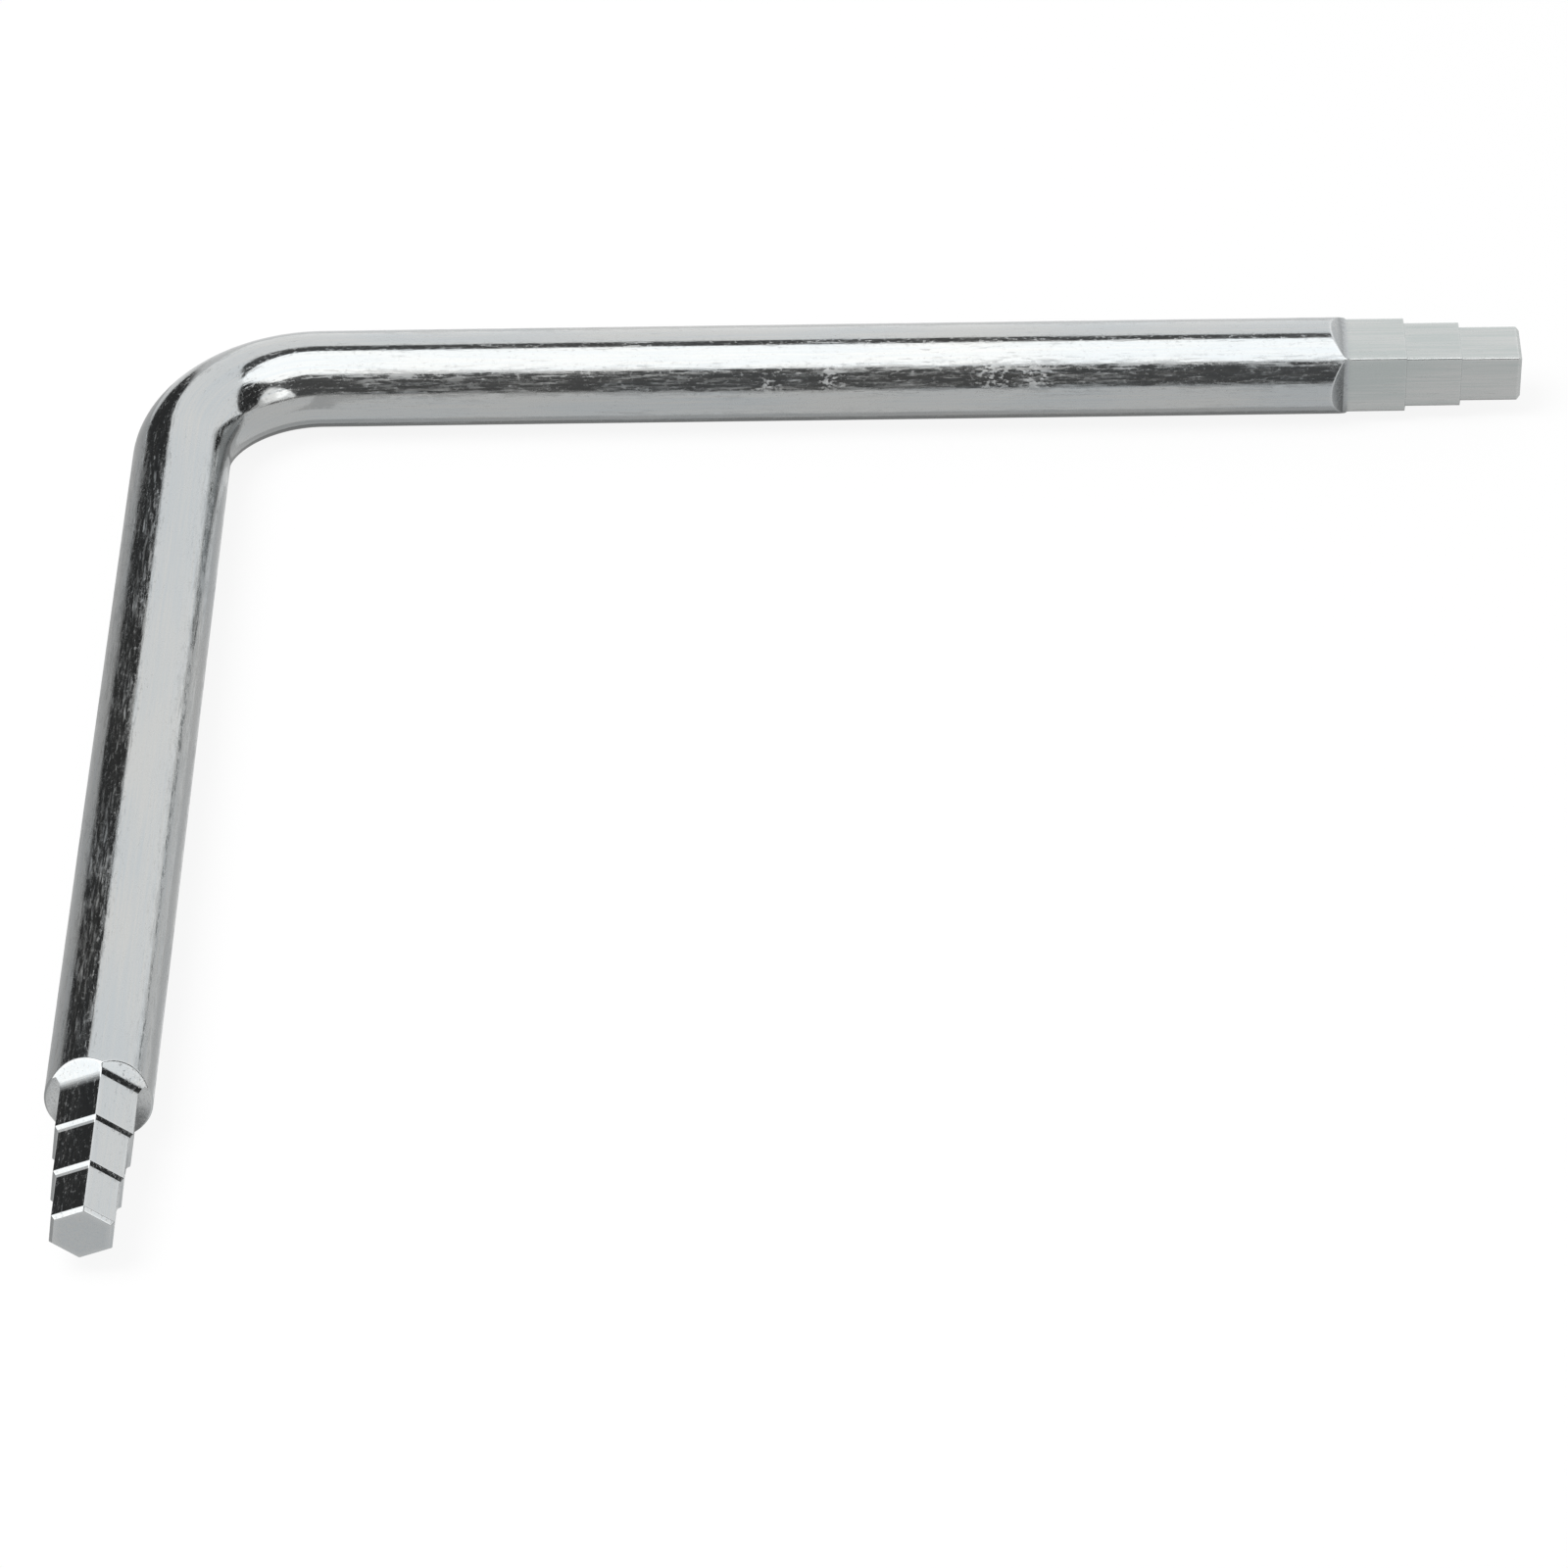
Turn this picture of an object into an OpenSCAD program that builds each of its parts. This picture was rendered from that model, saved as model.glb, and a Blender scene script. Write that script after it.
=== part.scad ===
// Faucet seat wrench: one round steel bar bent into an L.
// The short arm ends in a stepped hexagon and the long arm in a stepped square,
// so that each step fits another size of faucet seat.
// The bar lies flat: the long arm runs along +X, the short arm along -Y,
// and the origin is under the middle of the whole tool.

/* [Bar] */
// Diameter of the round bar
bar_d = 14; // [13:0.5:18]
// Length over the long arm, from the back of the bend to the square tip
long_arm_len = 200.5; // [160:0.5:260]
// Length over the short arm, from the back of the bend to the hexagon tip
short_arm_len = 184.5; // [140:0.5:240]
// Radius of the bend at the middle of the bar
bend_radius = 19.2; // [12:0.1:30]
// Angle to the bar at which the flats run out into its round side
shoulder_angle = 45; // [30:1:70]
// Depth of the chamfer round the rim of the square shoulder behind the hexagon
rim_chamfer = 0.3; // [0.1:0.1:1]

/* [Hexagon end] */
// Largest hexagon, across its flats
hex_large = 10; // [9.5:0.1:11]
// Middle hexagon, across its flats
hex_medium = 9; // [8.5:0.1:9.4]
// Smallest hexagon, across its flats
hex_small = 8; // [7:0.1:8.4]
// Length of the largest hexagon, from its root, with the ledge after it
hex_large_len = 7.9; // [3:0.1:12]
// Length of the middle hexagon, with the ledge after it
hex_medium_len = 7.8; // [3:0.1:12]
// Length of the smallest hexagon, to the tip
hex_small_len = 7.2; // [3:0.1:12]
// Steepest angle of the ledges to the bar
hex_ledge_angle = 65; // [45:1:75]
// Radius of the cove at the foot of the ledges
hex_ledge_cove = 1; // [0.6:0.1:1.5]
// Depth of the chamfer round the tip
hex_tip_chamfer = 0.3; // [0.2:0.1:1]
// Length of the chamfer round the tip
hex_tip_run = 0.3; // [0.2:0.1:2]
// Length of the hexagon's neck, from the square shoulder to the root
hex_neck = 1.2; // [0.5:0.1:3]
// Radius of the cove at the foot of the flats that run out in a slope
hex_run_out_cove = 1.4; // [0.5:0.1:2]
// Turn of the hexagon about its arm
hex_turn = 51; // [0:1:59]

/* [Square end] */
// Largest square, across its flats
square_large = 9.7; // [9.5:0.1:11]
// Middle square, across its flats
square_medium = 8.7; // [8.5:0.1:9.4]
// Smallest square, across its flats
square_small = 7.7; // [7:0.1:8.4]
// Length of the largest square, with the ledge after it
square_large_len = 8.5; // [3:0.1:14]
// Length of the middle square, with the ledge after it
square_medium_len = 8; // [3:0.1:14]
// Length of the smallest square, to the tip
square_small_len = 8.6; // [3:0.1:14]
// Angle of the ledges to the bar
square_ledge_angle = 65; // [30:1:75]
// Depth of the chamfer round the tip
square_tip_chamfer = 0.3; // [0.2:0.1:1]
// Length of the chamfer round the tip
square_tip_run = 0.3; // [0.2:0.1:2]
// Depth of the rounding turned on the corners
square_corner_break = 0.1; // [0.05:0.05:0.4]
// Radius of the cove at the foot of the run-outs
square_run_out_cove = 1; // [0.5:0.1:2]
// Turn of the square about its arm
square_turn = 1; // [0:1:89]

/* [Hidden] */
$fn = 96;
bar_r = bar_d / 2;
axis_z = bar_r;

// Angle at which a cove meets the slope above it
cove_turn = 3;

// Corner where the axes of the two arms would meet
corner_x = bar_r - long_arm_len / 2;
corner_y = short_arm_len / 2 - bar_r;

// Lengths of the stepped ends
hex_len = hex_large_len + hex_medium_len + hex_small_len;
square_len = square_large_len + square_medium_len + square_small_len;

// Distances along each arm's axis from that corner to the root of its stepped end
hex_root = short_arm_len - bar_r - hex_len;
square_root = long_arm_len - bar_r - square_len;

// Sizes across the flats at the very tips, and angles of the chamfers there to the bar
hex_tip = hex_small - 2 * hex_tip_chamfer;
hex_tip_angle = atan2(hex_tip_chamfer, hex_tip_run);
square_tip = square_small - 2 * square_tip_chamfer;
square_tip_angle = atan2(square_tip_chamfer, square_tip_run);

// Flats of each end, counted about its arm
hex_flats = [0 : 5];
square_flats = [0 : 3];

// Flats of the hexagon that run out in a slope, between their two outer corners.
// Its other flats stop at a shoulder square to the bar.
hex_sloped_flats = [0 : 1];
// Angle by which the walls beside the slopes keep clear of those corners
sector_margin = 2;

steel = [0.76, 0.78, 0.79];

// Radius at the square's corners, which the bar's own round side limits
function square_corner(size) = min(bar_r, size / 2 / cos(45) - square_corner_break);

// End of the bar's round side, with a chamfer where the radius there is smaller than the bar's
function arm_end(length, end_r) =
    end_r < bar_r ? [[bar_r, length - (bar_r - end_r)], [end_r, length]] : [[bar_r, length]];

// A slope falls at an angle and ends in a cove, which is tangent to the lower flat.
// The cove stops a little short of the slope's angle, so that the two meet at an edge.
// Height and length of the part of the fall that the cove takes.
function cove_rise(angle, cove_r) = cove_r * (1 - cos(angle - cove_turn));
function cove_run(angle, cove_r) = cove_r * sin(angle - cove_turn);

// Outline of a slope from one distance from Z down to another, which it reaches at a height.
// With a cove, the outline keeps clear of the space that the cove takes away.
function slope(from, to, height, angle, cove_r) =
    let (
        cove_start = height - cove_run(angle, cove_r),
        straight = from - to - cove_rise(angle, cove_r)
    )
        cove_r == 0 ? [[from, height - (from - to) / tan(angle)], [to, height]]
        : straight > 0 ? [
            [from, cove_start - straight / tan(angle)],
            [from - straight, cove_start],
            [to + cove_r, height]
        ]
        : [[from, height]];

// Places a shape drawn along +Z on the long arm, with its foot at a distance from the corner
module on_long_arm(distance) {
    translate([corner_x + distance, corner_y, axis_z])
        rotate([0, 90, 0])
            rotate([0, 0, square_turn])
                children();
}

// Places a shape drawn along +Z on the short arm, with its foot at a distance from the corner
module on_short_arm(distance) {
    translate([corner_x, corner_y - distance, axis_z])
        rotate([90, 0, 0])
            rotate([0, 0, hex_turn])
                children();
}

// Section of the space inside one flat, which the outline follows upwards along Z.
// A cove at the top is tangent to the distance from Z at which the next flat lies.
module flat_section(outline, next = 0, cove_r = 0) {
    foot = outline[0][1];
    top = outline[len(outline) - 1][1];
    difference() {
        polygon(concat(outline, [[-bar_d, top], [-bar_d, foot]]));
        if (cove_r > 0)
            translate([next + cove_r, top])
                circle(r = cove_r);
    }
}

// Space inside some flats, which lie a pitch apart about Z and all have the section given
module inside_flats(flats, pitch) {
    intersection_for (k = flats)
        rotate([0, 0, k * pitch])
            rotate([90, 0, 0])
                linear_extrude(2 * bar_d, center = true)
                    children();
}

// Section of a flat that runs out of the bar's side and reaches its full depth at Z = 0
module run_out_section(size, length, cove_r) {
    outline = slope(size / 2 + bar_d, size / 2, 0, shoulder_angle, cove_r);
    flat_section(concat([[size / 2 + bar_d, -length - bar_d]], outline), size / 2, cove_r);
}

// Section of one step of a stepped end: a straight flat, then a slope down to the next size
module step_section(from, to, length, angle, cove_r = 0) {
    outline = slope(from / 2, to / 2, length, angle, cove_r);
    flat_section(concat([[from / 2, 0]], outline), to / 2, cove_r);
}

// Turned body that rounds the corners of one step of the square
module step_corners(from, to, length, angle) {
    fall = slope(from / 2, to / 2, length, angle, 0);
    from_r = square_corner(from);
    to_r = square_corner(to);
    rotate_extrude()
        polygon([[0, 0], [from_r, 0], [from_r, fall[0][1]], [to_r, length], [0, length]]);
}

// Straight round bar, whose side ends with a radius at the root of a stepped end
module round_bar(length, end_r) {
    rotate_extrude()
        polygon(concat([[0, 0], [bar_r, 0]], arm_end(length, end_r), [[0, length]]));
}

module hex_step(from, to, length, angle, cove_r, distance) {
    on_short_arm(hex_root + distance)
        inside_flats(hex_flats, 60)
            step_section(from, to, length, angle, cove_r);
}

module square_step(from, to, length, angle, distance) {
    on_long_arm(square_root + distance)
        intersection() {
            inside_flats(square_flats, 90)
                step_section(from, to, length, angle);
            step_corners(from, to, length, angle);
        }
}

module long_arm() {
    length = square_root - bend_radius;
    color(steel)
        on_long_arm(bend_radius)
            intersection() {
                round_bar(length, square_corner(square_large));
                translate([0, 0, length])
                    inside_flats(square_flats, 90)
                        run_out_section(square_large, length, square_run_out_cove);
            }
}

module bend() {
    color(steel)
        translate([corner_x + bend_radius, corner_y - bend_radius, axis_z])
            rotate([0, 0, 90])
                rotate_extrude(angle = 90)
                    translate([bend_radius, 0])
                        circle(r = bar_r);
}

// Space about the hexagon's sloped flats, which ends a margin outside their outer corners
module sloped_sector(margin) {
    reach = 2 * bar_d;
    directions = [-30 - margin, 30, 90 + margin];
    linear_extrude(reach, center = true)
        polygon(concat([[0, 0]], [for (a = directions) reach * [cos(a), sin(a)]]));
}

// Space beyond the square shoulder and outside the hexagon, away from its sloped flats
module hex_shoulder() {
    difference() {
        rotate_extrude()
            polygon([
                [0, -hex_neck],
                [bar_r - rim_chamfer, -hex_neck],
                [bar_d, -hex_neck - bar_r - rim_chamfer],
                [bar_d, bar_r],
                [0, bar_r]
            ]);
        inside_flats(hex_flats, 60)
            flat_section([[hex_large / 2, -bar_d], [hex_large / 2, bar_d]]);
        sloped_sector(-sector_margin);
    }
}

// Space that the hexagon's sloped flats take away
module hex_run_outs() {
    difference() {
        sloped_sector(sector_margin);
        inside_flats(hex_sloped_flats, 60)
            run_out_section(hex_large, bar_d, hex_run_out_cove);
    }
}

module short_arm() {
    length = hex_root - bend_radius;
    color(steel)
        on_short_arm(bend_radius)
            difference() {
                round_bar(length, bar_r);
                translate([0, 0, length]) {
                    hex_shoulder();
                    hex_run_outs();
                }
            }
}

module hex_large_step() {
    color(steel)
        hex_step(hex_large, hex_medium, hex_large_len, hex_ledge_angle, hex_ledge_cove, 0);
}

module hex_medium_step() {
    color(steel)
        hex_step(hex_medium, hex_small, hex_medium_len, hex_ledge_angle, hex_ledge_cove,
                 hex_large_len);
}

module hex_small_step() {
    color(steel)
        hex_step(hex_small, hex_tip, hex_small_len, hex_tip_angle, 0, hex_large_len + hex_medium_len);
}

module square_large_step() {
    color(steel)
        square_step(square_large, square_medium, square_large_len, square_ledge_angle, 0);
}

module square_medium_step() {
    color(steel)
        square_step(square_medium, square_small, square_medium_len, square_ledge_angle,
                    square_large_len);
}

module square_small_step() {
    color(steel)
        square_step(square_small, square_tip, square_small_len, square_tip_angle,
                    square_large_len + square_medium_len);
}

long_arm();
bend();
short_arm();
hex_large_step();
hex_medium_step();
hex_small_step();
square_large_step();
square_medium_step();
square_small_step();
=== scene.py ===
from math import atan2, cos, hypot, pi, radians, sin

import bpy
import numpy as np
from mathutils import Matrix, Vector


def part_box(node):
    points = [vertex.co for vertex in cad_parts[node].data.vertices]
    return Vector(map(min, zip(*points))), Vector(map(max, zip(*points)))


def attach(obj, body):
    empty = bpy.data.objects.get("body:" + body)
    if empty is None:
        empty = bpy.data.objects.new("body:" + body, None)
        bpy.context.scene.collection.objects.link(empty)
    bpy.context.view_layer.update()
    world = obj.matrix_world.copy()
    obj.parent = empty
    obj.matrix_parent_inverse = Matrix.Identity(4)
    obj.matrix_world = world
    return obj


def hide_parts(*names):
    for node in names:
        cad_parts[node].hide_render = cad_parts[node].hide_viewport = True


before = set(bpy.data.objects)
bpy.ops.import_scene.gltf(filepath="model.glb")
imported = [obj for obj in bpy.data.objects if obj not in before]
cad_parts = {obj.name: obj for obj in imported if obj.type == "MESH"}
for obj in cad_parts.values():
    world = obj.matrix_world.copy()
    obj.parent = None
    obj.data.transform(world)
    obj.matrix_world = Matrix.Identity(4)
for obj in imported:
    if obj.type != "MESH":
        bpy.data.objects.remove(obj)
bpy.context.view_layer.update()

MM = 0.001
MICRON = 1e-6
X = np.array([1.0, 0.0, 0.0])
Y = np.array([0.0, 1.0, 0.0])
Z = np.array([0.0, 0.0, 1.0])

# Round bar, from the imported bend
bend_low, bend_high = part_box("bend")
BAR_R = (bend_high.z - bend_low.z) / 2
CORNER = np.array([bend_low.x + BAR_R, bend_high.y - BAR_R, bend_low.z + BAR_R])
BEND_R = bend_high.x - CORNER[0]
BEND_CENTRE = CORNER + BEND_R * (X - Y)
BEND_LEN = BEND_R * pi / 2
RIM_CHAMFER = 0.3 * MM

# Hexagon end: sizes across the flats, and turn about the arm
HEX_NODES = ("hex_large_step", "hex_medium_step", "hex_small_step")
HEX_SIZES = (10 * MM, 9 * MM, 8 * MM)
HEX_TURN = radians(51)
HEX_PITCH = radians(60)

# Where the hexagon meets the bar: two flats run out in a wide cove, the others stop at a square shoulder
HEX_SLOPED_FLATS = (0, 1)
HEX_SQUARE_FLATS = (2, 3, 4, 5)
HEX_COVE_R = 3 * MM
HEX_COVE_PIECES = 12
HEX_COVE_TAIL = 0.95 * MM
HEX_NECK = 1.2 * MM
SECTOR_MARGIN = radians(2)

# Square end: sizes across the flats, turn about the arm, coves of its run-outs and turned corners
SQUARE_NODES = ("square_large_step", "square_medium_step", "square_small_step")
SQUARE_SIZES = (9.7 * MM, 8.7 * MM, 7.7 * MM)
SQUARE_TURN = radians(1)
SQUARE_PITCH = radians(90)
SQUARE_COVE_R = 1 * MM
SQUARE_COVE_PIECES = 1
SQUARE_CORNER_BREAK = 0.1 * MM

# Ledges: each bends at these distances before its foot and heights above it
HEX_LEDGE = ((0.9 * MM, 0.5 * MM), (0.39 * MM, 0.14 * MM))
SQUARE_LEDGE = ((0.03 * MM, 0.5 * MM),)
SQUARE_LEDGE_SETBACK = 0.1 * MM

# Tips: each bends at these distances before its end and depths below the flat
TIP_BENDS = ((0.48 * MM, 0), (0.06 * MM, 0.38 * MM), (0, 0.46 * MM))

# Softness of the real edges, the room that a wall takes, and wear along the edges
EDGE_SOFTNESS = 0.05 * MM
LEDGE_SOFTNESS = 0.04 * MM
WALL_RUN = 0.03 * MM
WALL_TURN = radians(0.4)
WEAR_WIDTH = 0.16 * MM
EDGE_WEAR = 0.5

# Ring of painted shade before the square's root, which is also rougher there
SHADE_RING_SETBACK = 0.8 * MM
SHADE_RING_REACH = 0.65 * MM

# Fineness of the meshes
FINE_STEP = 0.07 * MM
FINE_REACH = 0.35 * MM
RUN_OUT_REACH = 4 * MM
ANGLE_STEP = radians(1)
CORNER_STEP = radians(0.25)
CORNER_SPAN = radians(2.5)
BEND_RINGS = 72
BAR_RINGS = 28
TIP_RINGS = (0.8, 0.6, 0.4, 0.2)
SOFTENING_SAMPLES = 9
DISTANCE_DIGITS = 7
ANGLE_DIGITS = 6
SMALL_STEP = 1e-6
SMALL_TURN = 1e-4

# Least cosines at which a flat still faces a point, and at which a face still follows the surface's normals
FACING_LIMIT = 0.05
SMOOTH_LIMIT = cos(radians(28))


def descent(foot, level, bends):
    """Points of an outline that comes down to a level at its foot, by its bends before and above that."""
    return [(foot - before, level + above) for before, above in bends] + [(foot, level)]


def cove(radius, pieces):
    """Bends of a cove between a slope of 45 degrees and its foot, drawn as so many straight pieces."""
    slopes = np.linspace(pi / 4, 0, pieces + 1)[:-1]
    return [(radius * sin(slope), radius * (1 - cos(slope))) for slope in slopes]


def profile(points):
    """Function of the distance along an arm: straight stretches between points, softened at the corners."""
    places, values = np.array(points).T
    shifts = np.linspace(-LEDGE_SOFTNESS, LEDGE_SOFTNESS, SOFTENING_SAMPLES)

    def value(distance):
        """Mean of the straight stretches about a distance."""
        spread = np.asarray(distance)[..., None] + shifts
        return np.interp(spread, places, values).mean(-1)

    return value


def least(limits):
    """The least of several distances from the axis, softened where two are alike, and their likeness."""
    limits = np.array(np.broadcast_arrays(*limits))
    nearest = limits.min(0)
    excess = nearest - limits
    soft = nearest - EDGE_SOFTNESS * np.log(np.exp(excess / EDGE_SOFTNESS).sum(0))
    share = np.exp(excess / WEAR_WIDTH).sum(0)
    return soft, np.clip(share - 1, 0, 1)


def ramp_up(value, start, end):
    """0 before the start, 1 after the end and a straight rise between them."""
    return np.clip((value - start) / (end - start), 0, 1)


def peak(distance, place, width):
    """1 at a place, falling off on both sides over a width."""
    return np.exp(-((distance - place) / width) ** 2)


class SteppedArm:
    """A straight arm and its stepped end, as one surface about the arm's axis.
    Angles about the axis start at from_axis and grow towards to_axis. Outward is away from the inside of
    the bend, and path_sign says which way the arm runs on the straightened bar."""

    def __init__(self, along, from_axis, to_axis, outward, path_sign, nodes, sizes, turn, pitch):
        self.along = along
        self.from_axis = from_axis
        self.to_axis = to_axis
        self.outward = outward
        self.path_sign = path_sign
        self.nodes = nodes
        self.sizes = sizes
        self.turn = turn
        self.pitch = pitch
        self.flats = range(round(2 * pi / pitch))
        self.corners = turn + pitch * (np.arange(len(self.flats)) + 0.5)
        self.root = self.reach(nodes[0])[0]
        self.tip = self.reach(nodes[-1])[1]
        # Strength of the ring of painted shade before the root
        self.dull_shade = 0
        self.edges = []
        self.extra_rings = []
        self.extra_angles = []

    def reach(self, cad_node):
        """Distances from the corner at which a node starts and ends."""
        low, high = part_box(cad_node)
        ends = [float((np.array(end) - CORNER) @ self.along) for end in (low, high)]
        return min(ends), max(ends)

    def steps(self, bends, setback=0):
        """Outline of a flat from the root over the ledges to the tip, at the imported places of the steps."""
        points = [(self.root, self.sizes[0] / 2)]
        for cad_node, following in zip(self.nodes, self.sizes[1:]):
            ledge = descent(self.reach(cad_node)[1] - setback, following / 2, bends)
            points += ledge
            self.edges.append(ledge[0][0])
            for place, _ in ledge:
                self.extra_rings += [place - LEDGE_SOFTNESS, place, place + LEDGE_SOFTNESS]
        half = self.sizes[-1] / 2
        for before, drop in TIP_BENDS:
            points.append((self.tip - before, half - drop))
            self.edges.append(self.tip - before)
        return points

    def run_out(self, bends, tail=0):
        """Outline of a flat that slopes out of the bar's side at 45 degrees and bends into its full depth.
        The slope starts well outside the bar."""
        before, above = bends[0]
        start = (before + 2 * BAR_R, above + 2 * BAR_R)
        return descent(self.root + tail, self.sizes[0] / 2, [start, *bends])

    def to_flats(self, half_width, distance, angles, flats):
        """Distances from the axis to some flats, which lie at a half width."""
        half = half_width(distance)
        facing = [np.cos(angles - self.turn - flat * self.pitch) for flat in flats]
        return [half / np.maximum(cosine, FACING_LIMIT) for cosine in facing]

    def angles(self):
        """Angles about the axis, closer together at the corners of the flats."""
        even = np.arange(0, 2 * pi, ANGLE_STEP)
        near = np.arange(-CORNER_SPAN, CORNER_SPAN + CORNER_STEP / 2, CORNER_STEP)
        close = (self.corners[:, None] + near[None]).ravel()
        extra = np.concatenate([close, np.array(self.extra_angles)]) % (2 * pi)
        return np.unique(np.concatenate([even, extra]).round(ANGLE_DIGITS))

    def rings(self, start, end):
        """Distances of the rings of one section: even, and finer at the run-outs and at the edges."""
        places = [np.linspace(start, end, BAR_RINGS)]
        fine = [(place - FINE_REACH, place + FINE_REACH) for place in self.edges]
        fine.append((self.root - RUN_OUT_REACH, self.root))
        for low, high in fine:
            low, high = max(low, start), min(high, end)
            if high > low:
                places.append(np.linspace(low, high, 2 + round((high - low) / FINE_STEP)))
        places.append([place for place in self.extra_rings if start < place < end])
        return np.unique(np.concatenate(places).round(DISTANCE_DIGITS))

    def points(self, distance, angles, radii):
        """Points at distances along the arm, angles about it and radii from its axis."""
        spoke = np.cos(angles)[..., None] * self.from_axis + np.sin(angles)[..., None] * self.to_axis
        return CORNER + np.asarray(distance)[..., None] * self.along + radii[..., None] * spoke

    def surface(self, distances, shape):
        """Grid of points, their normals, their wear and their ring of painted shade, one ring for each
        distance.
        """
        turn, far = np.meshgrid(self.angles(), distances)
        radii, wear = shape(far, turn)

        def moved(step, angle):
            """Points of the surface a small step and a small turn further on."""
            return self.points(far + step, turn + angle, shape(far + step, turn + angle)[0])

        around = moved(0, SMALL_TURN) - moved(0, -SMALL_TURN)
        onward = moved(SMALL_STEP, 0) - moved(-SMALL_STEP, 0)
        normals = np.cross(around, onward)
        normals /= np.linalg.norm(normals, axis=2)[..., None]
        for place in self.edges:
            wear = np.maximum(wear, peak(far, place, WEAR_WIDTH) * EDGE_WEAR)
        # Painted shade: a darker ring before the root, on the faces that lie below the bar's round side
        below_side = radii < BAR_R - EDGE_SOFTNESS
        dull_shade = self.dull_shade * peak(far, self.root - SHADE_RING_SETBACK, SHADE_RING_REACH) * below_side
        return self.points(far, turn, radii), normals, wear, dull_shade

    def straight(self, points):
        """Where the points would lie on the bar before it was bent: along it, outwards and up."""
        rel = points - CORNER
        path = self.path_sign * (rel @ self.along - BEND_R + BEND_LEN / 2)
        return np.stack([path, rel @ self.outward, rel @ Z], -1)


def add_object(name, data):
    """New object of the scene."""
    made = bpy.data.objects.new(name, data)
    bpy.context.scene.collection.objects.link(made)
    return made


def ring_faces(index):
    """Faces with four corners between the rings of a grid of point numbers."""
    turned = np.roll(index, -1, axis=1)
    return np.stack([index[:-1], turned[:-1], turned[1:], index[1:]], -1).reshape(-1, 4)


def corner_normals(points, normals, quads):
    """Normals at the corners of faces. A face that lies across the surface's normals, as a wall does,
    takes its own normal."""
    corners = points[quads]
    across = np.cross(corners[:, 2] - corners[:, 0], corners[:, 3] - corners[:, 1])
    across = (across / np.linalg.norm(across, axis=1)[:, None])[:, None]
    smooth = normals[quads]
    alike = (smooth * across).sum(-1, keepdims=True) > SMOOTH_LIMIT
    return np.where(alike, smooth, across).reshape(-1, 3)


def mesh_piece(name, points, normals, wear, dull_shade, straight, ends, tip=False):
    """Closed piece from a grid of rings, with flat ends. A tip's end face has rings of its own."""
    count, around = points.shape[:2]
    verts = [points.reshape(-1, 3)]
    coords = [straight.reshape(-1, 3)]
    marks = {"wear": [wear.ravel()], "dull_shade": [dull_shade.ravel()]}
    index = np.arange(count * around).reshape(count, around)
    quads = ring_faces(index)
    loop_normals = [corner_normals(verts[0], normals.reshape(-1, 3), quads)]
    faces = quads.tolist()

    last = index[-1]
    if tip:
        centre = points[-1].mean(0)
        coord_centre = straight[-1].mean(0)
        for scale in TIP_RINGS:
            inner = np.arange(around) + sum(len(part) for part in verts)
            verts.append(centre + (points[-1] - centre) * scale)
            coords.append(coord_centre + (straight[-1] - coord_centre) * scale)
            for values in marks.values():
                values.append(np.zeros(around))
            faces += ring_faces(np.stack([last, inner])).tolist()
            loop_normals.append(np.tile(ends[1], (4 * around, 1)))
            last = inner
    faces += [index[0][::-1].tolist(), last.tolist()]
    loop_normals += [np.tile(-ends[0], (around, 1)), np.tile(ends[1], (around, 1))]

    mesh = bpy.data.meshes.new(name)
    mesh.from_pydata(np.concatenate(verts).tolist(), [], faces)
    mesh.shade_smooth()
    straight_attribute = mesh.attributes.new("straight", "FLOAT_VECTOR", "POINT")
    straight_attribute.data.foreach_set("vector", np.concatenate(coords).ravel())
    for mark, values in marks.items():
        mesh.attributes.new(mark, "FLOAT", "POINT").data.foreach_set("value", np.concatenate(values))
    mesh.normals_split_custom_set(np.concatenate(loop_normals).tolist())
    return add_object(name, mesh)


def node(tree, kind, values=None, **settings):
    """New shader node with its settings and the values of its sockets."""
    made = tree.nodes.new(kind)
    for key, value in settings.items():
        setattr(made, key, value)
    for socket, value in (values or {}).items():
        made.inputs[socket].default_value = value
    return made


def empty_tree(owner, output_kind):
    """Cleared node tree of a material or a world, and its output."""
    owner.use_nodes = True
    tree = owner.node_tree
    tree.nodes.clear()
    return tree, node(tree, output_kind)


# Grain of the metal's noises: counts per metre along the straightened bar and across it
LINES = (60, 3200)
STREAKS = (300, 2700)
GRAIN = (1300, 2600)
WAVES = (35, 110)
PATCHES = (70, 160)
SCRATCHES = (240, 2600)
BLOTCHES = (30, 90)
EVEN_NOISE = 0.5
HARSH_NOISE = 0.6

# Levels of the noises between which the marks come up
LINE_LEVELS = (0.3, 0.7)
PATCH_LEVELS = (0.35, 0.65)
SCRATCH_LEVELS = (0.62, 0.7)
HAZE_LEVELS = (0.36, 0.66)
SPECK_LEVELS = (0.54, 0.68)
SCUFF_LEVELS = (0.46, 0.62)
EDGE_LEVELS = (0.3, 0.6)
SHADE_RING_LEVELS = (0.3, 0.7)

# Share of the marks that is left between the patches, on the crest, at the hexagon and in the bend
PATCH_SHARE = 0.4
CREST_SHARE = 0.3
HEX_SHARE = 0.4
BEND_SHARE = 0.35

# Share of the worn edges and of the ring of painted shade that is left where the grain is low
EDGE_SHARE = 0.4
SHADE_RING_SHARE = 0.6

# The bar's smooth crest, outwards from its axis, and the calm stretches beside the bend and the hexagon
CREST = -1.4 * MM
CREST_REACH = (1 * MM, 3.5 * MM)
CALM_REACH = 8 * MM
HEX_ROOT_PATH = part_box(HEX_NODES[0])[1].y - CORNER[1] + BEND_R - BEND_LEN / 2

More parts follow.
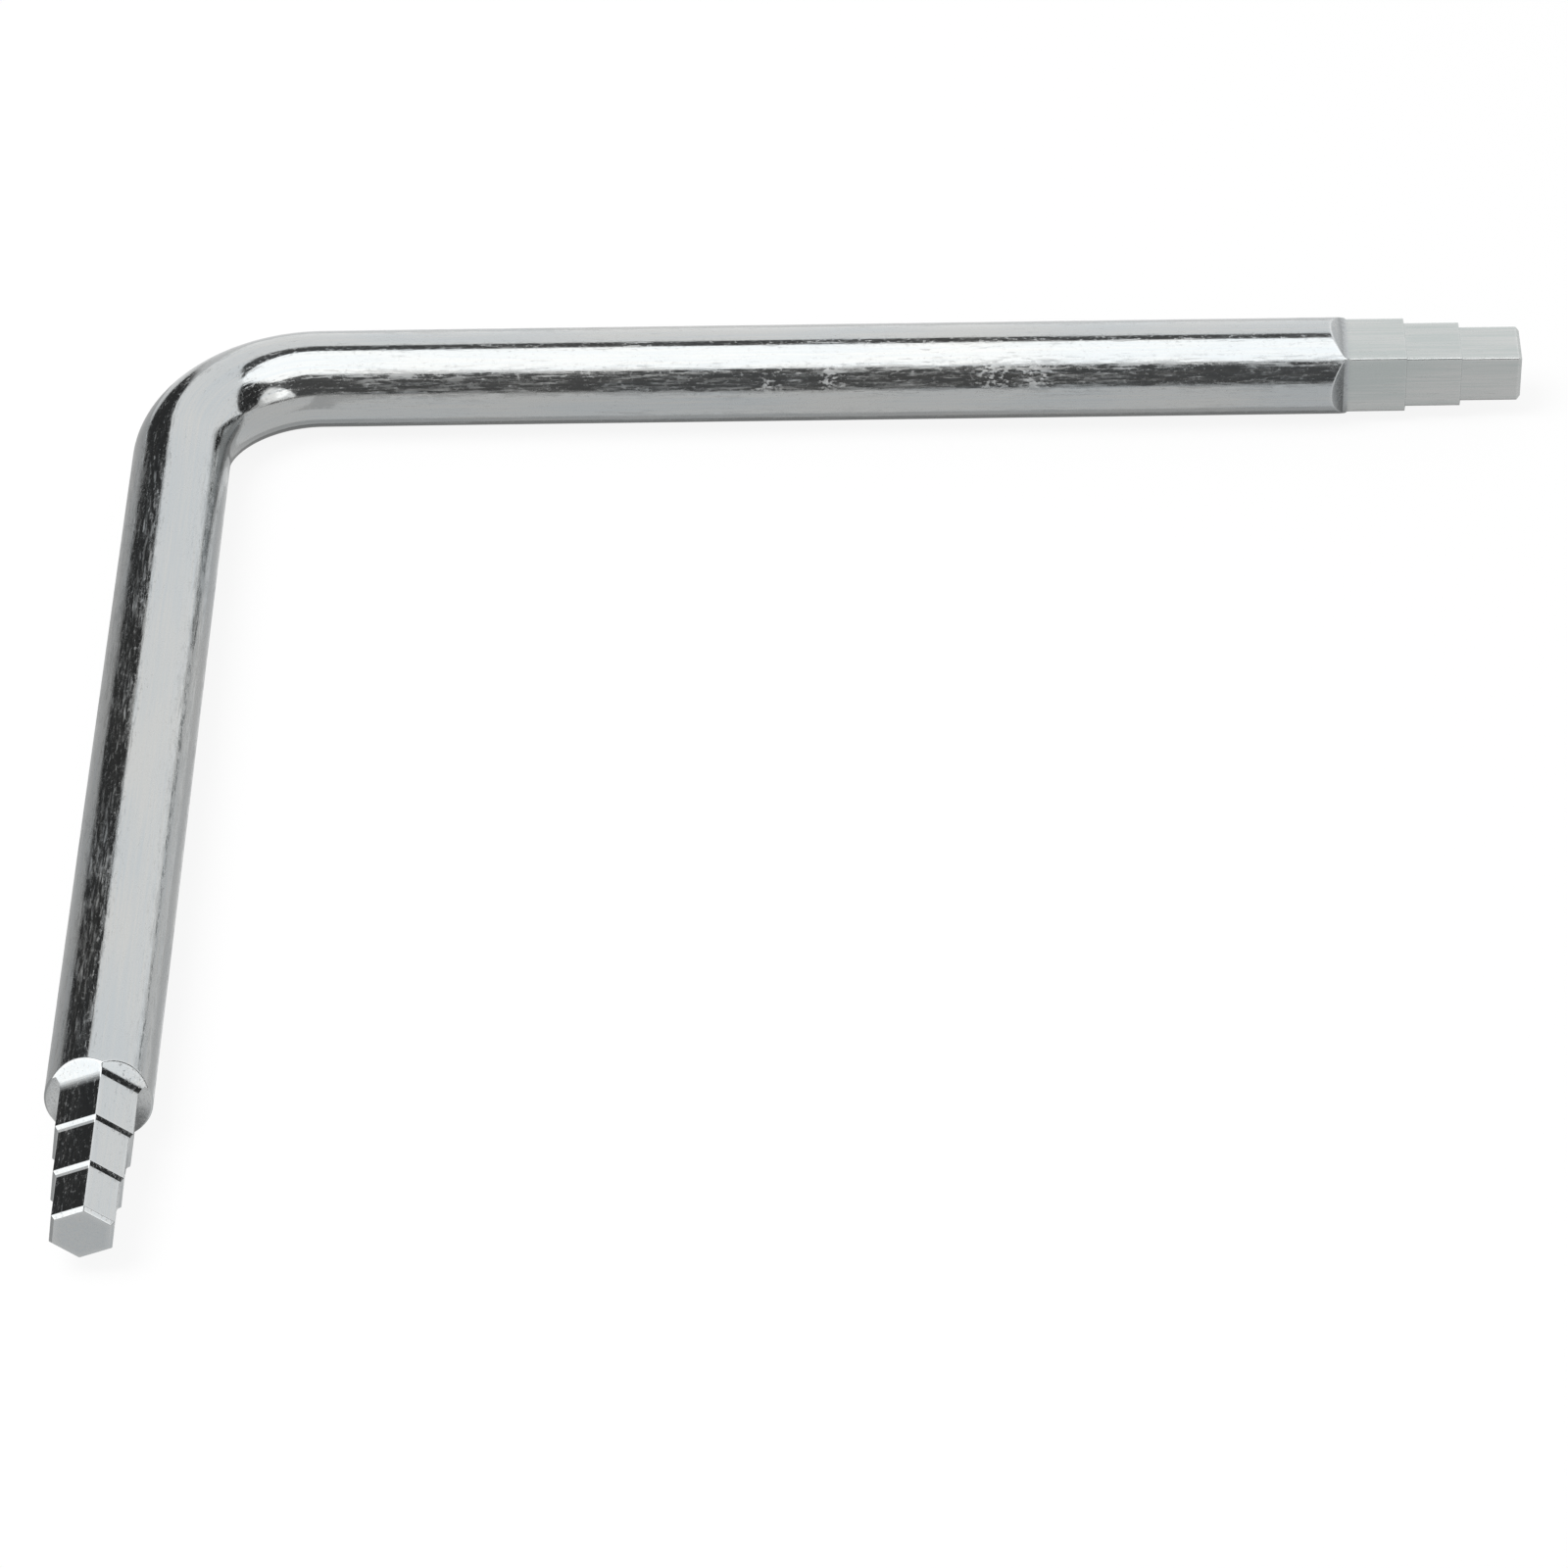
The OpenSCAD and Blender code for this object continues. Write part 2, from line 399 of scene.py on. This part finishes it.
# Scuffs: places along the straightened bar, outwards and up from its axis, and their reach
SCUFFS = (
    ((80.3 * MM, -6.6 * MM, 2.3 * MM), 2.2 * MM),
    ((89.5 * MM, -6.1 * MM, 3.4 * MM), 2.5 * MM),
    ((113 * MM, -6.2 * MM, 3.2 * MM), 4 * MM),
    ((119 * MM, -6.2 * MM, 3.2 * MM), 3 * MM),
)
SCUFF_CORE = 0.3

# Colours of worn metal and of the ring of painted shade, and how far edges and scuffs take on the first
WORN_COLOUR = (0.58, 0.59, 0.59, 1)
SHADE_RING_COLOUR = (0.24, 0.25, 0.255, 1)
EDGE_TINT = 0.5
SCUFF_TINT = 0.6

# Roughness that the marks add, and depth of the relief
SCRATCH_ROUGH = 0.2
EDGE_ROUGH = 0.1
SCUFF_ROUGH = 0.4
SHADE_RING_ROUGH = 0.15
WAVE_DEPTH = 25 * MICRON
LINE_DEPTH = 2 * MICRON
SCRATCH_DEPTH = -2 * MICRON
SCUFF_DEPTH = 8 * MICRON

# Tints of the metal, at two levels of its mottle
TINT_LEVELS = (0.4, 0.6)
BRIGHT_TINTS = ((0.36, 0.38, 0.39), (0.395, 0.40, 0.395))
SATIN_TINTS = ((0.35, 0.375, 0.37), (0.42, 0.425, 0.42))


class MetalShader:
    """A metal's node tree, with short ways to make its nodes. A source is the output of a node."""

    def __init__(self, name):
        self.material = bpy.data.materials.new(name)
        self.tree, output = empty_tree(self.material, "ShaderNodeOutputMaterial")
        self.link = self.tree.links.new
        self.metal = node(self.tree, "ShaderNodeBsdfPrincipled", {"Metallic": 1.0})
        self.link(self.metal.outputs["BSDF"], output.inputs["Surface"])
        self.straight = self.attribute("straight", "Vector")

    def attribute(self, name, output="Fac"):
        """An attribute of the mesh."""
        return node(self.tree, "ShaderNodeAttribute", attribute_name=name).outputs[output]

    def feed(self, quality, source):
        """Sets a quality of the metal from a source."""
        self.link(source, self.metal.inputs[quality])

    def noise(self, counts, detail, harshness=EVEN_NOISE):
        """Noise whose grain has these counts per metre along the bar and across it."""
        along, across = counts
        mapping = node(self.tree, "ShaderNodeMapping", {"Scale": (along, across, across)})
        self.link(self.straight, mapping.inputs["Vector"])
        values = {"Scale": 1.0, "Detail": detail, "Roughness": harshness}
        texture = node(self.tree, "ShaderNodeTexNoise", values)
        self.link(mapping.outputs["Vector"], texture.inputs["Vector"])
        return texture.outputs["Fac"]

    def ramp(self, source, levels, out_low=0.0, out_high=1.0):
        """The source between two levels, spread over a range."""
        low, high = levels
        values = {"From Min": low, "From Max": high, "To Min": out_low, "To Max": out_high}
        mapped = node(self.tree, "ShaderNodeMapRange", values)
        self.link(source, mapped.inputs["Value"])
        return mapped.outputs["Result"]

    def combine(self, operation, *operands):
        """Result of an operation on operands, each a number or a source."""
        made = node(self.tree, "ShaderNodeMath", operation=operation)
        for socket, operand in zip(made.inputs, operands):
            if isinstance(operand, (int, float)):
                socket.default_value = operand
            else:
                self.link(operand, socket)
        return made.outputs["Value"]

    def multiply(self, first, second):
        """Product of two operands."""
        return self.combine("MULTIPLY", first, second)

    def mean(self, first, second):
        """Mean of two operands."""
        return self.multiply(self.combine("ADD", first, second), 0.5)

    def near(self, place, reach):
        """1 at a place on the bar, falling to 0 at its reach."""
        apart = node(self.tree, "ShaderNodeVectorMath", {1: place}, operation="DISTANCE")
        self.link(self.straight, apart.inputs[0])
        return self.ramp(apart.outputs["Value"], (SCUFF_CORE * reach, reach), 1.0, 0.0)

    def tint(self, source, colours):
        """Colour between two tints, by the level of a source."""
        tint = node(self.tree, "ShaderNodeValToRGB")
        for element, level, colour in zip(tint.color_ramp.elements, TINT_LEVELS, colours):
            element.position = level
            element.color = (*colour, 1)
        self.link(source, tint.inputs["Fac"])
        return tint.outputs["Color"]

    def mix(self, colour, other, share):
        """A colour that gives way to another one by a share."""
        mixed = node(self.tree, "ShaderNodeMix", {"B": other}, data_type="RGBA")
        self.link(share, mixed.inputs["Factor"])
        self.link(colour, mixed.inputs["A"])
        return mixed.outputs["Result"]

    def relief(self, heights):
        """Normal of a surface that has several heights, each with its depth."""
        normal = None
        for height, depth in heights:
            bump = node(self.tree, "ShaderNodeBump", {"Strength": 1.0, "Distance": depth})
            self.link(height, bump.inputs["Height"])
            if normal is not None:
                self.link(normal, bump.inputs["Normal"])
            normal = bump.outputs["Normal"]
        return normal


def marked_patches(metal):
    """Where the metal has its marks: in patches, and fewer on the crest, at the hexagon and in the bend."""
    parts = node(metal.tree, "ShaderNodeSeparateXYZ")
    metal.link(metal.straight, parts.inputs["Vector"])
    along = parts.outputs["X"]
    outward = parts.outputs["Y"]
    from_crest = metal.combine("ABSOLUTE", metal.combine("SUBTRACT", outward, CREST))
    from_bend = metal.combine("ABSOLUTE", along)
    fewer = (
        (from_crest, CREST_REACH, CREST_SHARE),
        (along, (HEX_ROOT_PATH, HEX_ROOT_PATH + CALM_REACH), HEX_SHARE),
        (from_bend, (BEND_LEN / 2, BEND_LEN / 2 + CALM_REACH), BEND_SHARE),
    )
    patches = metal.ramp(metal.noise(PATCHES, detail=2), PATCH_LEVELS, PATCH_SHARE)
    for source, reach, share in fewer:
        patches = metal.multiply(patches, metal.ramp(source, reach, share))
    return patches


def scuffed_places(metal):
    """1 at the scuffs and 0 away from them."""
    scuffed = metal.near(*SCUFFS[0])
    for scuff in SCUFFS[1:]:
        scuffed = metal.combine("MAXIMUM", scuffed, metal.near(*scuff))
    return scuffed


def plated_steel(name, roughness, haze_rough, grain_depth, tints):
    """Bright plated steel: draw lines along the bar, streaks, specks, scuffs, soft waves, worn edges and a
    ring of painted shade.
    """
    metal = MetalShader(name)
    lines = metal.noise(LINES, detail=3)
    streaks = metal.noise(STREAKS, detail=3, harshness=HARSH_NOISE)
    grain = metal.noise(GRAIN, detail=3, harshness=HARSH_NOISE)
    waves = metal.noise(WAVES, detail=1)
    blotches = metal.noise(BLOTCHES, detail=2)
    patches = marked_patches(metal)

    haze = metal.multiply(metal.ramp(streaks, HAZE_LEVELS), patches)
    specks = metal.ramp(grain, SPECK_LEVELS)
    scratches = metal.ramp(metal.noise(SCRATCHES, detail=2), SCRATCH_LEVELS)
    scuffs = metal.multiply(scuffed_places(metal), metal.ramp(grain, SCUFF_LEVELS))
    edges = metal.multiply(metal.attribute("wear"), metal.ramp(grain, EDGE_LEVELS, EDGE_SHARE))
    # Painted shade: the darker ring before the square's root, broken up by the grain
    dull_shade = metal.multiply(metal.attribute("dull_shade"), metal.ramp(grain, SHADE_RING_LEVELS, SHADE_RING_SHARE))

    mottle = metal.mean(blotches, lines)
    worn = metal.combine("MAXIMUM", metal.multiply(edges, EDGE_TINT), metal.multiply(scuffs, SCUFF_TINT))
    colour = metal.tint(mottle, tints)
    colour = metal.mix(colour, WORN_COLOUR, worn)
    # Darkens the ring of painted shade
    colour = metal.mix(colour, SHADE_RING_COLOUR, dull_shade)
    metal.feed("Base Color", colour)

    roughened = (
        (haze, haze_rough),
        (specks, haze_rough / 2),
        (scratches, SCRATCH_ROUGH),
        (edges, EDGE_ROUGH),
        (scuffs, SCUFF_ROUGH),
        (dull_shade, SHADE_RING_ROUGH),
    )
    rough = metal.ramp(lines, LINE_LEVELS, *roughness)
    for mark, amount in roughened:
        rough = metal.combine("ADD", rough, metal.multiply(mark, amount))
    metal.feed("Roughness", rough)

    heights = (
        (waves, WAVE_DEPTH),
        (lines, LINE_DEPTH),
        (metal.multiply(streaks, patches), grain_depth),
        (metal.multiply(grain, patches), grain_depth / 2),
        (scratches, SCRATCH_DEPTH),
        (scuffs, SCUFF_DEPTH),
    )
    metal.feed("Normal", metal.relief(heights))
    return metal.material


bright_steel = plated_steel(
    "bright_plated_steel",
    roughness=(0.05, 0.10), haze_rough=0.38, grain_depth=6 * MICRON, tints=BRIGHT_TINTS)
drive_steel = plated_steel(
    "drive_plated_steel",
    roughness=(0.05, 0.09), haze_rough=0.5, grain_depth=3 * MICRON, tints=BRIGHT_TINTS)
satin_steel = plated_steel(
    "satin_plated_steel",
    roughness=(0.14, 0.22), haze_rough=0.1, grain_depth=5 * MICRON, tints=SATIN_TINTS)


def finish_piece(cad_node, material, *shape, **options):
    """Makes a piece that stands for one CAD node."""
    piece = mesh_piece("shown_" + cad_node, *shape, **options)
    piece.data.materials.append(material)
    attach(piece, "root")
    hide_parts(cad_node)


def make_section(arm, cad_node, material, shape):
    """One section of an arm, between the places where its CAD node starts and ends."""
    distances = arm.rings(*arm.reach(cad_node))
    points, normals, wear, dull_shade = arm.surface(distances, shape)
    ends = (arm.along, arm.along)
    is_tip = cad_node == arm.nodes[-1]
    finish_piece(cad_node, material, points, normals, wear, dull_shade, arm.straight(points), ends, tip=is_tip)


def make_long_arm():
    """Long arm, whose square's four flats all run out in a slope and whose corners are turned."""
    arm = SteppedArm(
        along=X, from_axis=-Z, to_axis=Y, outward=Y, path_sign=1,
        nodes=SQUARE_NODES, sizes=SQUARE_SIZES, turn=SQUARE_TURN, pitch=SQUARE_PITCH)
    # The square gets the ring of painted shade before its root
    arm.dull_shade = 1
    steps = arm.steps(SQUARE_LEDGE, SQUARE_LEDGE_SETBACK)
    half_width = profile(arm.run_out(cove(SQUARE_COVE_R, SQUARE_COVE_PIECES)) + steps)
    corner_points = []
    for place, half in steps:
        corner_r = half / cos(SQUARE_PITCH / 2) - SQUARE_CORNER_BREAK
        corner_points.append((place, min(BAR_R, corner_r)))
    rim = BAR_R - corner_points[0][1]
    round_side = profile([(BEND_R, BAR_R), (arm.root - rim, BAR_R)] + corner_points)

    def shape(distance, angles):
        """Radius and wear of the bar and the square."""
        return least(arm.to_flats(half_width, distance, angles, arm.flats) + [round_side(distance)])

    make_section(arm, "long_arm", bright_steel, shape)
    for cad_node in arm.nodes:
        make_section(arm, cad_node, satin_steel, shape)


def make_short_arm():
    """Short arm: two flats of its hexagon run out in a slope, and the others stop at a square shoulder."""
    arm = SteppedArm(
        along=-Y, from_axis=X, to_axis=Z, outward=-X, path_sign=-1,
        nodes=HEX_NODES, sizes=HEX_SIZES, turn=HEX_TURN, pitch=HEX_PITCH)
    half_width = profile(arm.steps(HEX_LEDGE))
    run_out_half = profile(arm.run_out(cove(HEX_COVE_R, HEX_COVE_PIECES), HEX_COVE_TAIL))
    shoulder = arm.root - HEX_NECK
    round_side = profile([
        (BEND_R, BAR_R), (shoulder - RIM_CHAMFER, BAR_R), (shoulder, BAR_R - RIM_CHAMFER)])
    sector_half = HEX_PITCH * len(HEX_SLOPED_FLATS) / 2
    sector_middle = HEX_TURN + sector_half - HEX_PITCH / 2
    arm.extra_rings += [shoulder - WALL_RUN, shoulder]
    for side in (-1, 1):
        for margin in (-SECTOR_MARGIN, SECTOR_MARGIN):
            wall = sector_middle + side * (sector_half + margin)
            arm.extra_angles += [wall - WALL_TURN / 2, wall + WALL_TURN / 2]

    def sloped_half(distance):
        """Half width of a flat with a run-out, whose cove fades out past the root."""
        return half_width(distance) + run_out_half(distance) - HEX_SIZES[0] / 2

    def step_shape(distance, angles):
        """Radius and wear of the hexagon."""
        sloped = arm.to_flats(sloped_half, distance, angles, HEX_SLOPED_FLATS)
        return least(sloped + arm.to_flats(half_width, distance, angles, HEX_SQUARE_FLATS))

    def arm_shape(distance, angles):
        """Radius and wear of the bar, which has run-outs inside their sector and a shoulder outside it."""
        beyond = ramp_up(distance, shoulder - WALL_RUN, shoulder)
        margin = np.where(beyond < 1, SECTOR_MARGIN, -SECTOR_MARGIN)
        from_middle = np.abs((angles - sector_middle + pi) % (2 * pi) - pi)
        wall = sector_half + margin
        inside = 1 - ramp_up(from_middle, wall - WALL_TURN / 2, wall + WALL_TURN / 2)
        flats = arm.to_flats(sloped_half, distance, angles, HEX_SLOPED_FLATS)
        sloped_r, sloped_wear = least(flats + [BAR_R + 0 * distance])
        neck_r, neck_wear = step_shape(distance, angles)
        outer_r = (1 - beyond) * round_side(distance) + beyond * neck_r
        rim_wear = peak(distance, shoulder, WEAR_WIDTH)
        wear = inside * sloped_wear + (1 - inside) * np.maximum(rim_wear, beyond * neck_wear)
        return inside * sloped_r + (1 - inside) * outer_r, wear

    make_section(arm, "short_arm", bright_steel, arm_shape)
    for cad_node in arm.nodes:
        make_section(arm, cad_node, drive_steel, step_shape)


def make_bend():
    """Quarter turn of the round bar."""
    sweep = np.linspace(0, pi / 2, BEND_RINGS)
    turn = np.arange(0, 2 * pi, ANGLE_STEP)
    around, swept = np.meshgrid(turn, sweep)
    outward = -np.cos(swept)[..., None] * X + np.sin(swept)[..., None] * Y
    normals = np.cos(around)[..., None] * outward + np.sin(around)[..., None] * Z
    points = BEND_CENTRE + BEND_R * outward + BAR_R * normals
    path = (swept / pi * 2 - 0.5) * BEND_LEN
    straight = np.stack([path, BAR_R * np.cos(around), BAR_R * np.sin(around)], -1)
    unmarked = 0 * path
    finish_piece("bend", bright_steel, points, normals, unmarked, unmarked, straight, (Y, X))


make_long_arm()
make_short_arm()
make_bend()


# Camera: aimed at a point between the arms, turned, raised and rolled by these angles in radians
TARGET = Vector(CORNER) + Vector((87.303, -92.313, 0)) * MM
VIEW_AZIMUTH = 0.02818
VIEW_ELEVATION = 0.70686
VIEW_ROLL = -0.03027
VIEW_DISTANCE = 871.56 * MM
FOCAL_PIXELS = 6589.5
FRAME_PIXELS = 1600
SENSOR_MM = 36
CLIP_START = 10 * MM


def make_camera():
    """Camera of the scene."""
    back = Vector((
        sin(VIEW_AZIMUTH) * cos(VIEW_ELEVATION),
        -cos(VIEW_AZIMUTH) * cos(VIEW_ELEVATION),
        sin(VIEW_ELEVATION),
    ))
    level_right = Vector(Z).cross(back).normalized()
    level_up = back.cross(level_right)
    right = cos(VIEW_ROLL) * level_right + sin(VIEW_ROLL) * level_up
    up = cos(VIEW_ROLL) * level_up - sin(VIEW_ROLL) * level_right
    data = bpy.data.cameras.new("camera")
    data.sensor_width = SENSOR_MM
    data.lens = FOCAL_PIXELS / FRAME_PIXELS * SENSOR_MM
    data.clip_start = CLIP_START
    camera = add_object("camera", data)
    facing = Matrix((right, up, back)).transposed().to_4x4()
    camera.matrix_world = Matrix.Translation(TARGET + back * VIEW_DISTANCE) @ facing
    bpy.context.scene.camera = camera


def seen_directly(tree):
    """1 for what the camera sees, itself or in metal or glass, and 0 for light that falls on things."""
    path = node(tree, "ShaderNodeLightPath")
    total = path.outputs["Is Camera Ray"]
    for other in ("Is Glossy Ray", "Is Transmission Ray"):
        added = node(tree, "ShaderNodeMath", operation="MAXIMUM")
        tree.links.new(total, added.inputs[0])
        tree.links.new(path.outputs[other], added.inputs[1])
        total = added.outputs["Value"]
    return total


# Floor: most of its white is its own, so that the tool's shadow on it stays faint
FLOOR_SIZE = 50
FLOOR_ALBEDO = 0.12
FLOOR_LIFT = 0.88


def make_floor():
    """Pale floor, which glows where it is seen and takes the lamps' light and the tool's shadow on top."""
    half = FLOOR_SIZE / 2
    corners = [(-half, -half, 0), (half, -half, 0), (half, half, 0), (-half, half, 0)]
    mesh = bpy.data.meshes.new("floor")
    mesh.from_pydata(corners, [], [(0, 1, 2, 3)])
    material = bpy.data.materials.new("pale_floor")
    tree, output = empty_tree(material, "ShaderNodeOutputMaterial")
    matt = node(tree, "ShaderNodeBsdfDiffuse", {"Color": (FLOOR_ALBEDO, FLOOR_ALBEDO, FLOOR_ALBEDO, 1)})
    glow = node(tree, "ShaderNodeEmission")
    lift = node(tree, "ShaderNodeMath", {1: FLOOR_LIFT}, operation="MULTIPLY")
    both = node(tree, "ShaderNodeAddShader")
    tree.links.new(seen_directly(tree), lift.inputs[0])
    tree.links.new(lift.outputs["Value"], glow.inputs["Strength"])
    tree.links.new(matt.outputs["BSDF"], both.inputs[0])
    tree.links.new(glow.outputs["Emission"], both.inputs[1])
    tree.links.new(both.outputs["Shader"], output.inputs["Surface"])
    mesh.materials.append(material)
    floor = add_object("floor", mesh)


# World: white where it is seen, and this strong as light on things
AMBIENT = 0.6
WHITE = (1, 1, 1, 1)


def make_world():
    """White surroundings."""
    world = bpy.data.worlds.new("studio")
    bpy.context.scene.world = world
    tree, output = empty_tree(world, "ShaderNodeOutputWorld")
    ambient = node(tree, "ShaderNodeBackground", {"Color": WHITE, "Strength": AMBIENT})
    white = node(tree, "ShaderNodeBackground", {"Color": WHITE, "Strength": 1.0})
    mix = node(tree, "ShaderNodeMixShader")
    tree.links.new(seen_directly(tree), mix.inputs["Fac"])
    tree.links.new(ambient.outputs["Background"], mix.inputs[1])
    tree.links.new(white.outputs["Background"], mix.inputs[2])
    tree.links.new(mix.outputs["Shader"], output.inputs["Surface"])


def show_in_reflections(name, points, faces, level):
    """Glowing surface on the stage that only reflections show and that lights nothing."""
    mesh = bpy.data.meshes.new(name)
    mesh.from_pydata(points, [], faces)
    material = bpy.data.materials.new(name)
    tree, output = empty_tree(material, "ShaderNodeOutputMaterial")
    glow = node(tree, "ShaderNodeEmission", {"Strength": level})
    tree.links.new(glow.outputs["Emission"], output.inputs["Surface"])
    mesh.materials.append(material)
    panel = add_object(name, mesh)
    panel.visible_camera = False
    panel.visible_diffuse = False
    panel.visible_shadow = False


# Panels that the metal mirrors: distance, brightness, and outline in degrees from overhead to +X and +Y
PANELS = (
    ("softbox", 12.0, 2.5, (
        (-24, 18), (2, 18), (12, 16), (20, 13), (28, 11), (35, 7), (38, 0), (39, -15), (38, -28), (32, -36),
        (13, -40), (-6, -42), (-26, -46), (-34, -57), (-60, -57), (-66, -30), (-60, -8), (-30, -6))),
    ("window_core", 12.0, 2.5, (
        (41, -49), (48, -49), (56, -54), (62, -62), (48, -69), (37, -67))),
    ("rim_bright", 12.1, 1.7, (
        (-64, -20), (-60, 6), (-27, 6), (-27, -20))),
    ("rim_middle", 12.2, 1.0, (
        (-64, -10), (-60, 18), (-25, 18), (-25, -10))),
    ("rim_faint", 12.3, 0.45, (
        (-64, 0), (-60, 32), (-23, 32), (-23, 0))),
    ("rim_trace", 12.35, 0.18, (
        (-64, 10), (-60, 42), (-21, 42), (-21, 10))),
    ("window", 12.2, 1.75, (
        (46, -34), (68, -32), (86, -52), (80, -76), (58, -82), (34, -82), (35, -62), (42, -48))),
    ("gap", 12.4, 0.12, (
        (-22, 33), (2, 33), (8, 29), (14, 24), (20, 18), (27, 13), (30, 0), (-22, 0))),
    ("right_dark", 12.4, 0.05, (
        (36, 6), (60, 7), (80, 10), (100, 0), (84, -28), (66, -30), (44, -32), (36, -30))),
    ("front_dark", 12.4, 0.13, (
        (-10, -36), (16, -30), (36, -26), (48, -36), (40, -60), (38, -100), (-60, -96), (-70, -50),
        (-40, -40))),
    ("left_dark", 12.4, 0.055, (
        (-19, 18), (-19, 60), (-32, 92), (-60, 74), (-84, 40), (-88, 18))),
    ("backdrop", 12.6, 1.5, (
        (-19, 30), (20, 14), (40, 4), (60, 4), (96, 4), (84, 50), (62, 80), (20, 100), (-19, 100))),
)
PANEL_ROWS = 24
PANEL_PIECES = 10


def direction(degrees_x, degrees_y):
    """Direction at an angle from overhead, by its parts to +X and to +Y."""
    lean = radians(hypot(degrees_x, degrees_y))
    bearing = atan2(degrees_y, degrees_x)
    return Vector((sin(lean) * cos(bearing), sin(lean) * sin(bearing), cos(lean)))


def make_panel(name, distance, level, outline):
    """Panel on a sphere about the tool, filled from its middle."""
    corners = np.array(outline, float)
    following = np.roll(corners, -1, axis=0)
    steps = np.arange(PANEL_PIECES)[:, None] / PANEL_PIECES
    edge = np.concatenate([start + (end - start) * steps for start, end in zip(corners, following)])
    middle = edge.mean(0)
    rows = [middle + (edge - middle) * (row / PANEL_ROWS) for row in range(1, PANEL_ROWS + 1)]
    points = [TARGET + direction(*place) * distance for place in np.concatenate(rows)]
    index = np.arange(len(points)).reshape(PANEL_ROWS, -1)
    show_in_reflections(name, points, ring_faces(index).tolist() + [index[0].tolist()], level)


# Strips of shade under the tool, which its underside mirrors: half width and brightness
SHADES = ((5.5 * MM, 0.3), (7.5 * MM, 0.65))
SHADE_LIFT = 0.02 * MM
SHADE_PAST_ROOT = 5 * MM
SHADE_TURNS = 18


def make_shade(half_width, level, lift):
    """Strip on the floor along the bar's middle, from the square's tip to past the hexagon's root."""
    stops = [(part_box(SQUARE_NODES[-1])[1].x, CORNER[1], 0, 1)]
    for turn in np.linspace(pi / 2, 0, SHADE_TURNS):
        side_x, side_y = -cos(turn), sin(turn)
        stops.append((BEND_CENTRE[0] + BEND_R * side_x, BEND_CENTRE[1] + BEND_R * side_y, side_x, side_y))
    stops.append((CORNER[0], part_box(HEX_NODES[0])[1].y - SHADE_PAST_ROOT, -1, 0))
    points = []
    for x, y, side_x, side_y in stops:
        for reach in (-half_width, half_width):
            points.append((x + reach * side_x, y + reach * side_y, lift))
    quads = [(start, start + 1, start + 3, start + 2) for start in range(0, len(points) - 2, 2)]
    show_in_reflections("shade", points, quads, level)


# Darker floor beside the tool, which its sides mirror: brightness, and outline in mm from the corner
FLOOR_SHADES = (
    ("front_shade", 0.13, ((18, -195), (73, -75), (240, -75), (900, -3000), (-700, -3000))),
    ("left_shade", 0.6, ((-3000, -700), (-9, -200), (-9, 20), (-3000, 3500))),
    ("right_shade", 0.72, ((9, -150), (20, -150), (20, -15), (9, -15))),
)
FLOOR_SHADE_LIFT = 0.01 * MM


def make_floor_shade(name, level, outline):
    """Area of darker floor, as one face."""
    points = [(CORNER[0] + x * MM, CORNER[1] + y * MM, FLOOR_SHADE_LIFT) for x, y in outline]
    show_in_reflections(name, points, [tuple(range(len(points)))], level)


# Key lamp: place in degrees from overhead to +X and +Y, distance, size and power
KEY_PLACE = (-25, -5)
KEY_DISTANCE = 1.1
KEY_SIZE = 0.7
KEY_POWER = 7.0


def make_key_lamp():
    """Soft round lamp that casts the tool's shadow."""
    data = bpy.data.lights.new("key", "AREA")
    data.shape = "DISK"
    data.size = KEY_SIZE
    data.energy = KEY_POWER
    lamp = add_object("key", data)
    place = direction(*KEY_PLACE)
    lamp.location = TARGET + place * KEY_DISTANCE
    lamp.rotation_euler = place.to_track_quat("Z", "Y").to_euler()
    lamp.visible_glossy = False


make_camera()
make_floor()
make_world()
for panel in PANELS:
    make_panel(*panel)
for number, (half_width, level) in enumerate(reversed(SHADES), 1):
    make_shade(half_width, level, number * SHADE_LIFT)
for shade in FLOOR_SHADES:
    make_floor_shade(*shade)
make_key_lamp()
bpy.context.scene.view_settings.view_transform = "Standard"
